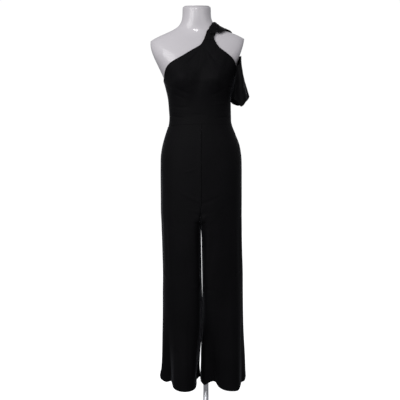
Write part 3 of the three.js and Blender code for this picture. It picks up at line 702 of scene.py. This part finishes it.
def edge_rows(points, normals, side, steps):
    """Adds rows or columns past one edge; the frames are carried along."""
    axis = 0 if side in ("bottom", "top") else 1
    p = np.moveaxis(points, axis, 0)
    n = np.moveaxis(normals, axis, 0)
    first = side in ("bottom", "left")
    edge, inner = (p[0], p[1]) if first else (p[-1], p[-2])
    normal = n[0] if first else n[-1]
    onward = edge - inner
    onward = onward - normal * (onward * normal).sum(-1, keepdims=True)
    onward = onward / np.maximum(np.linalg.norm(onward, axis=-1, keepdims=True), TINY)
    new = [edge + onward * a * MM - normal * b * MM for a, b in steps]
    if first:
        p = np.concatenate([new[::-1], p])
        n = np.concatenate([[normal] * len(new), n])
    else:
        p = np.concatenate([p, new])
        n = np.concatenate([n, [normal] * len(new)])
    return np.moveaxis(p, 0, axis), np.moveaxis(n, 0, axis)


print("turned hem steps:", len(turned(20)))

# %% [markdown]
# ## Making the shell
# The sheet becomes a mesh of quads with its own map in metres, so that the knit
# has its real size. Solidify gives the cloth its thickness towards the form and
# is applied at once. The finished object sits at the origin, rides on the one
# body and stands for its solid.

# %% Sheet to object
CALM_EDGE = 9 * MM
# The creased points and normals of each cloth solid's face.
surfaces = {}


def deselect():
    for o in bpy.context.selected_objects:
        o.select_set(False)


def only(obj):
    deselect()
    obj.select_set(True)
    bpy.context.view_layer.objects.active = obj


def settle(obj, node, finish):
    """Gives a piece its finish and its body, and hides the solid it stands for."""
    obj.data.materials.clear()
    obj.data.materials.append(finish)
    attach(obj, "root")
    if node:
        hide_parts(node)


def sheet_object(name, points, node, thickness=SHELL):
    rows, columns = points.shape[:2]
    mesh = bpy.data.meshes.new(name)
    corners = [j * columns + i for j in range(rows - 1) for i in range(columns - 1)]
    faces = [(c, c + 1, c + 1 + columns, c + columns) for c in corners]
    mesh.from_pydata(points.reshape(-1, 3).tolist(), [], faces)
    across = np.concatenate([[0], np.cumsum(mean_length(points, 1))])
    up = np.concatenate([[0], np.cumsum(mean_length(points, 0))])
    cloth_map = mesh.uv_layers.new(name="cloth_map")
    loops = np.zeros(len(mesh.loops), int)
    mesh.loops.foreach_get("vertex_index", loops)
    uv = np.stack([across[loops % columns], up[loops // columns]], axis=1)
    cloth_map.data.foreach_set("uv", uv.astype(np.float32).ravel())
    obj = bpy.data.objects.new(name, mesh)
    bpy.context.collection.objects.link(obj)
    only(obj)
    wall = obj.modifiers.new("thickness", "SOLIDIFY")
    wall.thickness = thickness
    wall.offset = -1
    bpy.ops.object.modifier_apply(modifier="thickness")
    bpy.ops.object.shade_smooth_by_angle(angle=math.radians(50))
    settle(obj, node, jersey)
    print(obj.name, len(obj.data.polygons), "faces")


def panel(node, columns, creases, axis, edges, spacing=3.4, waves=0.35, dip=SEAM_DIP):
    """One sewn panel: its solid's face, creased, with its edges finished."""
    grid = outer_grid(node, columns)
    points = smooth_along(smooth_along(grid, 0, spacing * MM), 1, spacing * MM)
    normals = outward_normals(points)
    away = edge_distances(points)
    inside = np.minimum(np.minimum(away["left"], away["right"]), away["top"])
    calm = np.clip(inside / CALM_EDGE, 0, 1)
    shift = crease_relief(points, creases, axis) * calm
    shift = shift + slow_waves(points, waves) * calm
    for side, steps in edges.items():
        if steps in SEWN:
            reach = SEAM_REACH if dip > 0 else SWELL_REACH
            shift = shift - dip * np.exp(-((away[side] / reach) ** 2))
    points = points + normals * shift[..., None]
    normals = outward_normals(points)
    surfaces[node] = points, normals
    for side in ("left", "right", "bottom", "top"):
        if edges.get(side):
            points, normals = edge_rows(points, normals, side, edges[side])
    sheet_object(node + "_cloth", points, node)


# %% [markdown]
# ## The bodice
# A maker cuts the bodice front and back each in one piece, up to the narrow
# peak that the strap grows from. The top edges are turned in by 7 mm. The front
# has the side seams' allowances, and both go down behind the trousers' waist.

# %% Bodice panels
NECK_TURN = turned(7)
BODICE = [
    # node, columns, the finish of both side edges
    ("bodice_front", 26, UNDERLAP),
    ("bodice_back", 23, SEAM_RETURN),
]
for node, columns, sides in BODICE:
    edges = {"left": sides, "right": sides, "bottom": UNDERLAP, "top": NECK_TURN}
    panel(node, columns, TORSO_CREASES, TORSO_AXIS, edges, spacing=3.0)

# %% [markdown]
# ## The trousers
# Four long panels make the trousers: two fronts and two backs, sewn down the
# sides, inside the legs and along the rise in the middle. The wide hems are
# turned up by 20 mm. At every seam at least one of the two panels carries an
# allowance that lies behind the other. The sides in the table are those seen
# from outside the panel, so they are mirrored on the back.

# %% Trouser panels
HEM_TURN = turned(20)
TROUSER_COLUMNS = 15
TROUSERS = [
    # node, creases, axis, the finish of the left and the right edge
    ("trouser_front_left", LEFT_LEG_CREASES, LEFT_LEG_AXIS, UNDERLAP, UNDERLAP),
    ("trouser_front_right", RIGHT_LEG_CREASES, RIGHT_LEG_AXIS, SEAM_RETURN, UNDERLAP),
    ("trouser_back_left", LEFT_LEG_CREASES, LEFT_LEG_AXIS, UNDERLAP, SEAM_RETURN),
    ("trouser_back_right", RIGHT_LEG_CREASES, RIGHT_LEG_AXIS, SEAM_RETURN, UNDERLAP),
]
for node, creases, axis, left, right in TROUSERS:
    edges = {"left": left, "right": right, "top": SEAM_RETURN, "bottom": HEM_TURN}
    panel(node, TROUSER_COLUMNS, creases, axis, edges)

# %% [markdown]
# ## The sleeve
# The sleeve is a short loose tube. It is sewn to the armhole below and behind,
# falls away from the cut arm of the form, and its hem is open and turned up.
# Its sewn edges swell a little towards the bodice, so that no light comes
# through the seam.

# %% Sleeve
SLEEVE_SWELL = 2.2 * MM
panel(
    "sleeve",
    columns=27,
    creases=SLEEVE_CREASES,
    axis=SLEEVE_AXIS,
    edges={"left": SHORT_LAP, "right": SEAM_RETURN, "top": turned(6), "bottom": turned(12)},
    spacing=2.6,
    waves=0.5,
    dip=-SLEEVE_SWELL,
)

# %% [markdown]
# ## The strap and the band
# The strap is gathered, so it has long narrow pleats that run up into the knot,
# and it is pinched where it goes in. The band runs from the knot over the
# shoulder and is sewn to the back. Its front edge is drawn back towards its far
# end, which leaves that end thin. The pleats are a sum of waves of different
# widths, because gathers are never even.

# %% Strap and band
STRIP_STEP = 1.2 * MM
STRIP_SHELL = 0.8 * MM
PLEAT_CALM = 3 * MM
PINCH_FROM = 0.4
SMALLEST_WIDTH = 1e-9
PLEAT_WOBBLE = 0.35


def pleats(share, along, count, deep):
    """Uneven pleats across a strip, as an outward shift."""
    wobble = PLEAT_WOBBLE * np.sin(3.1 * along + 0.7)
    wave = np.cos(2 * math.pi * count * share + wobble)
    wave = wave + 0.5 * np.cos(2 * math.pi * (count * 1.7) * share + 2.0 - wobble)
    return deep * MM * wave


def pinched(points, pinch):
    """Rows narrowed about their middles, more and more towards the last one."""
    climb = (np.linspace(0, 1, len(points)) - PINCH_FROM) / (1 - PINCH_FROM)
    climb = np.clip(climb, 0, 1)[:, None, None]
    centre = points.mean(axis=1, keepdims=True)
    return centre + (points - centre) * (1 - pinch * climb**2)


def tapered(points, taper):
    """Columns shortened from their first point, more and more towards the last one."""
    points = points.copy()
    share = np.linspace(0, 1, len(points))
    for i, far in enumerate(np.linspace(0, 1, points.shape[1])):
        slid = 1 - (1 - share) * (1 - taper * far**2)
        column = points[:, i].copy()
        for k in range(3):
            points[:, i, k] = np.interp(slid, share, column[:, k])
    return points


def share_between(away, first, last):
    """How far each point is from one edge towards the opposite one, from 0 to 1."""
    return away[first] / np.maximum(away[first] + away[last], SMALLEST_WIDTH)


def strip(node, columns, edges, count, deep, upright, across_rows, pinch=0, taper=0):
    """A gathered strip with a number of pleats of a depth in mm."""
    grid = outer_grid(node, columns, upright)
    points = smooth_along(smooth_along(grid, 0, STRIP_STEP), 1, STRIP_STEP)
    points = tapered(pinched(points, pinch), taper)
    normals = outward_normals(points)
    away = edge_distances(points)
    wide, long = ("left", "right"), ("bottom", "top")
    if across_rows:
        wide, long = long, wide
    relief = pleats(share_between(away, *wide), share_between(away, *long), count, deep)
    calm = np.clip(np.minimum(away[wide[0]], away[wide[1]]) / PLEAT_CALM, 0, 1)
    points = points + normals * (relief * calm)[..., None]
    normals = outward_normals(points)
    for side in ("left", "right", "bottom", "top"):
        if edges.get(side):
            points, normals = edge_rows(points, normals, side, edges[side])
    sheet_object(node + "_cloth", points, node, STRIP_SHELL)


STRAP_TURN = ((0.4, 0.1), (0.8, 0.6), (0.7, 1.2))
strip(
    "shoulder_strap",
    columns=13,
    edges={"left": STRAP_TURN, "right": STRAP_TURN, "bottom": LAP_OVER},
    count=3.6,
    deep=0.45,
    upright=2,
    across_rows=False,
    pinch=0.24,
)
strip(
    "shoulder_band",
    columns=10,
    edges=dict.fromkeys(("left", "right", "bottom", "top"), STRAP_TURN),
    count=4.3,
    deep=0.5,
    upright=1,
    across_rows=True,
    taper=0.35,
)

# %% [markdown]
# ## The knot
# The strap is wrapped round itself before it goes over the shoulder. The real
# knot is layers of the same jersey. The solid's lump gives its outline, and a
# subdivision smooths a copy of it. Round folds that wind slantwise over it show
# the wraps. Its top is let down a little, and its front is drawn out to the
# left, where the last wrap comes down to the strap.

# %% Knot
def smooth_copy(node, name, levels, sharp_degrees=None):
    """A copy of a solid's mesh, merged, in quads, and subdivided."""
    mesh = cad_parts[node].data.copy()
    mesh.name = name
    obj = bpy.data.objects.new(name, mesh)
    bpy.context.collection.objects.link(obj)
    only(obj)
    bpy.ops.object.mode_set(mode="EDIT")
    bpy.ops.mesh.select_all(action="SELECT")
    bpy.ops.mesh.remove_doubles(threshold=MERGE_WITHIN)
    bpy.ops.mesh.tris_convert_to_quads(
        face_threshold=math.radians(60), shape_threshold=math.radians(120)
    )
    bpy.ops.mesh.select_all(action="DESELECT")
    bpy.ops.object.mode_set(mode="OBJECT")
    if sharp_degrees:
        bm = bmesh.new()
        bm.from_mesh(obj.data)
        crease = bm.edges.layers.float.get("crease_edge")
        crease = crease or bm.edges.layers.float.new("crease_edge")
        for e in bm.edges:
            if len(e.link_faces) == 2:
                if e.calc_face_angle() > math.radians(sharp_degrees):
                    e[crease] = 1.0
        bm.to_mesh(obj.data)
        bm.free()
    finer = obj.modifiers.new("finer", "SUBSURF")
    finer.levels = levels
    finer.render_levels = levels
    bpy.ops.object.modifier_apply(modifier="finer")
    return obj


knot = smooth_copy("shoulder_knot", "shoulder_knot_wraps", 3)
print("knot:", len(knot.data.polygons), "faces")

# %% Folds of the knot
KNOT_FOLDS = 2.2 * MM
FOLD_EVERY = 13 * MM
FOLD_SLANT = 0.55
FOLD_DRIFT = 0.35
DRIFT_LENGTH = 9 * MM
FOLD_MIDDLE = 0.6
FINE_FOLDS = 0.3
FINE_ACROSS = 2.6 * MM
FINE_ALONG = 11 * MM
UNDERSIDE_FADE = 0.75


def read_vectors(vertices, key):
    """One vector of every vertex, as rows."""
    values = np.zeros(len(vertices) * 3)
    vertices.foreach_get(key, values)
    return values.reshape(-1, 3)


co = read_vectors(knot.data.vertices, "co")
normal = read_vectors(knot.data.vertices, "normal")
middle = co.mean(axis=0)
offset = co - middle
# The knot's own directions: thin, wide and long.
axes = np.linalg.eigh(np.cov(offset.T))[1]
long_way, wide_way = offset @ axes[:, 2], offset @ axes[:, 1]
# Round folds with sharp valleys, and fine ones between them.
wind = (long_way + FOLD_SLANT * wide_way) / FOLD_EVERY
wind = wind + FOLD_DRIFT * np.sin(long_way / DRIFT_LENGTH)
ridge = np.abs(np.cos(math.pi * wind)) - FOLD_MIDDLE
ridge = ridge + FINE_FOLDS * np.cos(wide_way / FINE_ACROSS + long_way / FINE_ALONG + 1.0)
upward = normal @ axes[:, 0] * np.sign(axes[2, 0])
upward = np.clip(upward + UNDERSIDE_FADE, 0, 1)
co = co + normal * (KNOT_FOLDS * ridge * upward)[:, None]
print("folds up to", round(np.abs(KNOT_FOLDS * ridge * upward).max() / MM, 2), "mm")

# %% The knot settles
KNOT_SETTLES = 5 * MM
TOP_REACH = 16 * MM
KNOT_LAST_WRAP = 9 * MM
LEFT_REACH = 18 * MM
FRONT_REACH = 12 * MM
top, left_side = co[:, 2].max(), co[:, 0].min()
near_top = np.clip(1 - (top - co[:, 2]) / TOP_REACH, 0, 1)
near_left = np.clip(1 - (co[:, 0] - left_side) / LEFT_REACH, 0, 1)
in_front = np.clip((middle[1] - co[:, 1]) / FRONT_REACH, 0, 1)
co[:, 2] -= KNOT_SETTLES * near_top**1.5
co[:, 0] -= KNOT_LAST_WRAP * near_left * in_front
knot.data.vertices.foreach_set("co", co.ravel())
knot.data.update()
only(knot)
bpy.ops.object.shade_smooth()
settle(knot, "shoulder_knot", jersey)
print("knot: top let down by", KNOT_SETTLES / MM, "mm")

# %% [markdown]
# ## Stitches
# Hems in jersey are sewn with a twin needle: two rows of short stitches, 4 or
# 5 mm apart. One stitch is modelled as a small spindle and copied along the
# rows, and all the rows of one hem become one mesh. The top edges get one row
# close to the fold.

# %% One stitch
STITCH_LONG = 2.6 * MM
STITCH_THICK = 0.34 * MM
STITCH_EVERY = 3.4 * MM
STITCH_LIFT = 0.06 * MM
LOOK_AHEAD = 0.5 * MM

deselect()
bpy.ops.mesh.primitive_uv_sphere_add(segments=6, ring_count=4, radius=0.5)
pattern = bpy.context.object
bpy.ops.object.mode_set(mode="EDIT")
bpy.ops.transform.rotate(
    value=math.radians(90), orient_axis="Y", center_override=(0, 0, 0)
)
bpy.ops.transform.resize(
    value=(STITCH_LONG, STITCH_THICK, STITCH_THICK), center_override=(0, 0, 0)
)
bpy.ops.object.mode_set(mode="OBJECT")
stitch_points = np.array([tuple(v.co) for v in pattern.data.vertices])
stitch_faces = [tuple(p.vertices) for p in pattern.data.polygons]
bpy.data.objects.remove(pattern)
print("one stitch:", len(stitch_faces), "faces")


# %% Rows of stitches
def line_at(node, side, distance):
    """Points and normals on a panel at a distance from one of its edges."""
    points, normals = surfaces[node]
    away = edge_distances(points)[side]
    line, ups = [], []
    for i in range(points.shape[1]):
        order = np.argsort(away[:, i])
        for grid, found in ((points, line), (normals, ups)):
            column = grid[order, i]
            found.append([np.interp(distance, away[order, i], column[:, k]) for k in range(3)])
    return np.array(line), np.array(ups)


def stitch_row(name, lines):
    """One mesh of stitches along several lines on the cloth."""
    all_points, all_faces = [], []
    for line, ups in lines:
        steps = np.linalg.norm(np.diff(line, axis=0), axis=1)
        run = np.concatenate([[0], np.cumsum(steps)])
        for s in np.arange(STITCH_EVERY, run[-1] - STITCH_EVERY, STITCH_EVERY):
            at = np.array([np.interp(s, run, line[:, k]) for k in range(3)])
            ahead = np.array([np.interp(s + LOOK_AHEAD, run, line[:, k]) for k in range(3)])
            up = np.array([np.interp(s, run, ups[:, k]) for k in range(3)])
            up = up / np.linalg.norm(up)
            along = ahead - at
            along = along - up * along.dot(up)
            along = along / np.linalg.norm(along)
            turn = np.stack([along, np.cross(up, along), up])
            first = len(all_points) * len(stitch_points)
            all_points.append(stitch_points @ turn + at + up * STITCH_LIFT)
            all_faces += [tuple(v + first for v in f) for f in stitch_faces]
    mesh = bpy.data.meshes.new(name)
    mesh.from_pydata(np.concatenate(all_points).tolist(), [], all_faces)
    obj = bpy.data.objects.new(name, mesh)
    bpy.context.collection.objects.link(obj)
    only(obj)
    bpy.ops.object.shade_smooth()
    settle(obj, None, thread)
    print(name, len(all_points), "stitches")


STITCHING = [
    # mesh, the panels that it runs over, their edge, how far from it in mm
    ("hem_stitches_left", ("trouser_front_left", "trouser_back_left"), "bottom", (14, 19)),
    ("hem_stitches_right", ("trouser_front_right", "trouser_back_right"), "bottom", (14, 19)),
    ("hem_stitches_sleeve", ("sleeve",), "bottom", (7, 11)),
    ("edge_stitches_front", ("bodice_front",), "top", (5.5,)),
    ("edge_stitches_back", ("bodice_back",), "top", (5.5,)),
]
for name, nodes, side, distances in STITCHING:
    stitch_row(name, [line_at(n, side, d * MM) for n in nodes for d in distances])

# %% [markdown]
# ## The form
# The form is one smooth moulding. Its solid has the right shape in flat facets,
# so a copy is merged and subdivided. The edges where the arms and the neck are
# cut off stay crisp, held by edge creases, as on the real shell.

# %% Form
form = smooth_copy("form_torso", "form_shell", 2, sharp_degrees=38)
bpy.ops.object.shade_smooth_by_angle(angle=math.radians(40))
settle(form, "form_torso", shell)
print("form:", len(form.data.polygons), "faces")

# %% [markdown]
# ## The neck cap, pole, socket and base
# These are turned parts. The cap, the pole and the base start as cylinders at
# their real size and place, and a bevel rounds their edges. The cap lies on the
# sloping cut of the neck, so it is tilted in its mesh. The base's top face is
# inset in edit mode and let down by half a millimetre, which leaves a low rim.
# The socket starts as a circle that is extruded along its profile and bridged.

# %% Cap, pole and base
SMOOTH_UP_TO = math.radians(35)


def turned_part(name, radius, low, high, sides, round_edge):
    """A cylinder on the upright axis, with its edges rounded."""
    deselect()
    bpy.ops.mesh.primitive_cylinder_add(
        vertices=sides, radius=radius, depth=high - low, location=(0, 0, (low + high) / 2)
    )
    obj = bpy.context.object
    obj.name = name
    bpy.ops.object.transform_apply(location=True, rotation=False, scale=False)
    rim = obj.modifiers.new("rim", "BEVEL")
    rim.width = round_edge
    rim.segments = 3
    rim.limit_method = "ANGLE"
    bpy.ops.object.modifier_apply(modifier="rim")
    return obj


CAP_RADIUS = 52 * MM
CAP_THICK = 4 * MM
NECK_SLOPE = 0.27
cap_low, cap_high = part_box("form_neck_cap")
cap_middle = (cap_low + cap_high) / 2
cap = turned_part(
    "form_neck_plate",
    CAP_RADIUS,
    -CAP_THICK / 2,
    CAP_THICK / 2,
    sides=96,
    round_edge=0.8 * MM,
)
cap.data.transform(
    Matrix.Translation(cap_middle) @ Matrix.Rotation(math.atan(NECK_SLOPE), 4, "X")
)
cap.data.update()
only(cap)
bpy.ops.object.shade_smooth_by_angle(angle=SMOOTH_UP_TO)
settle(cap, "form_neck_cap", shell)

POLE_RADIUS = 11 * MM
pole_low, pole_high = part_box("stand_pole")
pole = turned_part(
    "pole_tube", POLE_RADIUS, pole_low.z, pole_high.z, sides=64, round_edge=0.6 * MM
)
bpy.ops.object.shade_smooth_by_angle(angle=SMOOTH_UP_TO)
settle(pole, "stand_pole", chrome)

BASE_RADIUS = 178 * MM
RIM_WIDTH = 6 * MM
STEP_WIDTH = 0.8 * MM
STEP_DOWN = 0.5 * MM
FLAT_RING = 120 * MM
base_low, base_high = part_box("stand_base")
base = turned_part(
    "base_plate", BASE_RADIUS, base_low.z, base_high.z, sides=192, round_edge=1.8 * MM
)
bpy.ops.object.mode_set(mode="EDIT")
bpy.ops.mesh.select_mode(type="FACE")
bpy.ops.object.mode_set(mode="OBJECT")
for p in base.data.polygons:
    p.select = p.normal.z > 0.99
bpy.ops.object.mode_set(mode="EDIT")
bpy.ops.mesh.inset(thickness=RIM_WIDTH)
bpy.ops.mesh.inset(thickness=STEP_WIDTH, depth=-STEP_DOWN)
bpy.ops.mesh.inset(thickness=FLAT_RING)
bpy.ops.object.mode_set(mode="OBJECT")
only(base)
bpy.ops.object.shade_smooth_by_angle(angle=SMOOTH_UP_TO)
settle(base, "stand_base", steel)
print("turned parts:", cap.name, pole.name, base.name)

# %% Socket
# Its radius on the base in mm, then each step: share of its height, radius in mm.
SOCKET_RADIUS = 22
SOCKET_PROFILE = ((0.4, 22), (0.97, 17.2), (1.0, 16.2), (1.0, 11.4), (0.0, 11.4))
socket_low, socket_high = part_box("stand_socket")
deselect()
bpy.ops.mesh.primitive_circle_add(
    vertices=96, radius=SOCKET_RADIUS * MM, fill_type="NOTHING", location=(0, 0, socket_low.z)
)
socket = bpy.context.object
socket.name = "pole_socket"
bpy.ops.object.transform_apply(location=True, rotation=False, scale=False)
bpy.ops.object.mode_set(mode="EDIT")
bpy.ops.mesh.select_mode(type="EDGE")
bpy.ops.mesh.select_all(action="SELECT")
height, radius = socket_low.z, SOCKET_RADIUS
for share, next_radius in SOCKET_PROFILE:
    next_height = socket_low.z + (socket_high.z - socket_low.z) * share
    move = {"value": (0, 0, next_height - height)}
    bpy.ops.mesh.extrude_region_move(TRANSFORM_OT_translate=move)
    k = next_radius / radius
    bpy.ops.transform.resize(value=(k, k, 1), center_override=(0, 0, 0))
    height, radius = next_height, next_radius
bpy.ops.mesh.select_all(action="DESELECT")
ring = bmesh.from_edit_mesh(socket.data)
for e in ring.edges:
    e.select_set(len(e.link_faces) == 1)
bmesh.update_edit_mesh(socket.data)
bpy.ops.mesh.bridge_edge_loops()
bpy.ops.mesh.select_all(action="SELECT")
bpy.ops.mesh.normals_make_consistent(inside=False)
bpy.ops.object.mode_set(mode="OBJECT")
only(socket)
bpy.ops.object.shade_smooth_by_angle(angle=SMOOTH_UP_TO)
settle(socket, "stand_socket", chrome)
print("socket:", len(socket.data.polygons), "faces")

# %% [markdown]
# ## Cut sizes
# No cut sizes or areas are set for the sheets here.

print("no cut sizes set")

# %% [markdown]
# ## Floor and light
# The floor and the air are almost white. A large soft lamp stands high in front
# on the left and gives the sheen on that side. A weaker one fills from the
# right, and a small one makes the glint below the neck. Floor and world are
# white to the camera and dim as lights, because a white room would wash the
# black out.

# %% Floor
FLOOR_DARK = (0.88, 0.88, 0.88)
FLOOR_PALE = (0.91, 0.91, 0.91)
deselect()
bpy.ops.mesh.primitive_plane_add(size=30, location=(0, 0, -0.2 * MM))
floor = bpy.context.object
floor.name = "floor"
paint = Finish("pale_floor")
place = paint.add("ShaderNodeTexCoord", out=OBJECT_PLACE)
cloud = paint.add("ShaderNodeTexNoise", Vector=place, Scale=0.8, Detail=2.0)
tone = paint.add(
    "ShaderNodeValToRGB",
    {"stops": [(0.3, FLOOR_DARK), (0.7, FLOOR_PALE)]},
    Fac=cloud,
)
seen_floor = paint.add(
    "ShaderNodeBsdfPrincipled",
    Base_Color=tone,
    Roughness=0.8,
    Specular_IOR_Level=0.1,
    Emission_Color=(1, 1, 1, 1),
    Emission_Strength=0.75,
)
dim_floor = paint.add("ShaderNodeBsdfDiffuse", Color=(0.3, 0.3, 0.31, 1))
both = paint.add("ShaderNodeMixShader", Fac=paint.add("ShaderNodeLightPath"))
paint.tree.links.new(dim_floor.socket, both.socket.node.inputs[1])
paint.tree.links.new(seen_floor.socket, both.socket.node.inputs[2])
floor.data.materials.append(paint.show(both))
print("floor:", floor.name)

# %% Air
SEEN_STRENGTH = 1.02
LIGHT_STRENGTH = 0.44
world = bpy.data.worlds.new("studio")
bpy.context.scene.world = world
world.use_nodes = True
air = world.node_tree
air.nodes.clear()
seen = air.nodes.new("ShaderNodeLightPath")
white = air.nodes.new("ShaderNodeBackground")
white.inputs["Color"].default_value = (1, 1, 1, 1)
white.inputs["Strength"].default_value = SEEN_STRENGTH
soft = air.nodes.new("ShaderNodeBackground")
soft.inputs["Color"].default_value = (0.95, 0.96, 1.0, 1)
soft.inputs["Strength"].default_value = LIGHT_STRENGTH
mix = air.nodes.new("ShaderNodeMixShader")
out = air.nodes.new("ShaderNodeOutputWorld")
air.links.new(seen.outputs["Is Camera Ray"], mix.inputs[0])
air.links.new(soft.outputs[0], mix.inputs[1])
air.links.new(white.outputs[0], mix.inputs[2])
air.links.new(mix.outputs[0], out.inputs["Surface"])
print("air:", world.name)


# %% Lamps
def soft_lamp(name, place, target, size, power):
    """A rectangular lamp that looks at a target."""
    light = bpy.data.lights.new(name, "AREA")
    light.shape = "RECTANGLE"
    light.size, light.size_y = size
    light.energy = power
    lamp = bpy.data.objects.new(name, light)
    bpy.context.collection.objects.link(lamp)
    lamp.location = place
    look = Vector(target) - Vector(place)
    lamp.rotation_euler = look.to_track_quat("-Z", "Y").to_euler()


LAMPS = [
    # name, place, what it looks at and its size in m, power in W
    ("key", (-1.5, -2.1, 2.2), (0, 0, 1.2), (1.3, 1.8), 46),
    ("fill", (1.7, -2.3, 2.0), (0, 0, 1.2), (1.4, 1.6), 10),
    ("glint", (-0.14, -1.7, 2.38), (0, 0, 1.62), (0.3, 0.15), 6.5),
]
for row in LAMPS:
    soft_lamp(*row)
bpy.context.scene.view_settings.view_transform = "Standard"
bpy.context.scene.view_settings.look = "None"
print("lamps:", len(LAMPS))
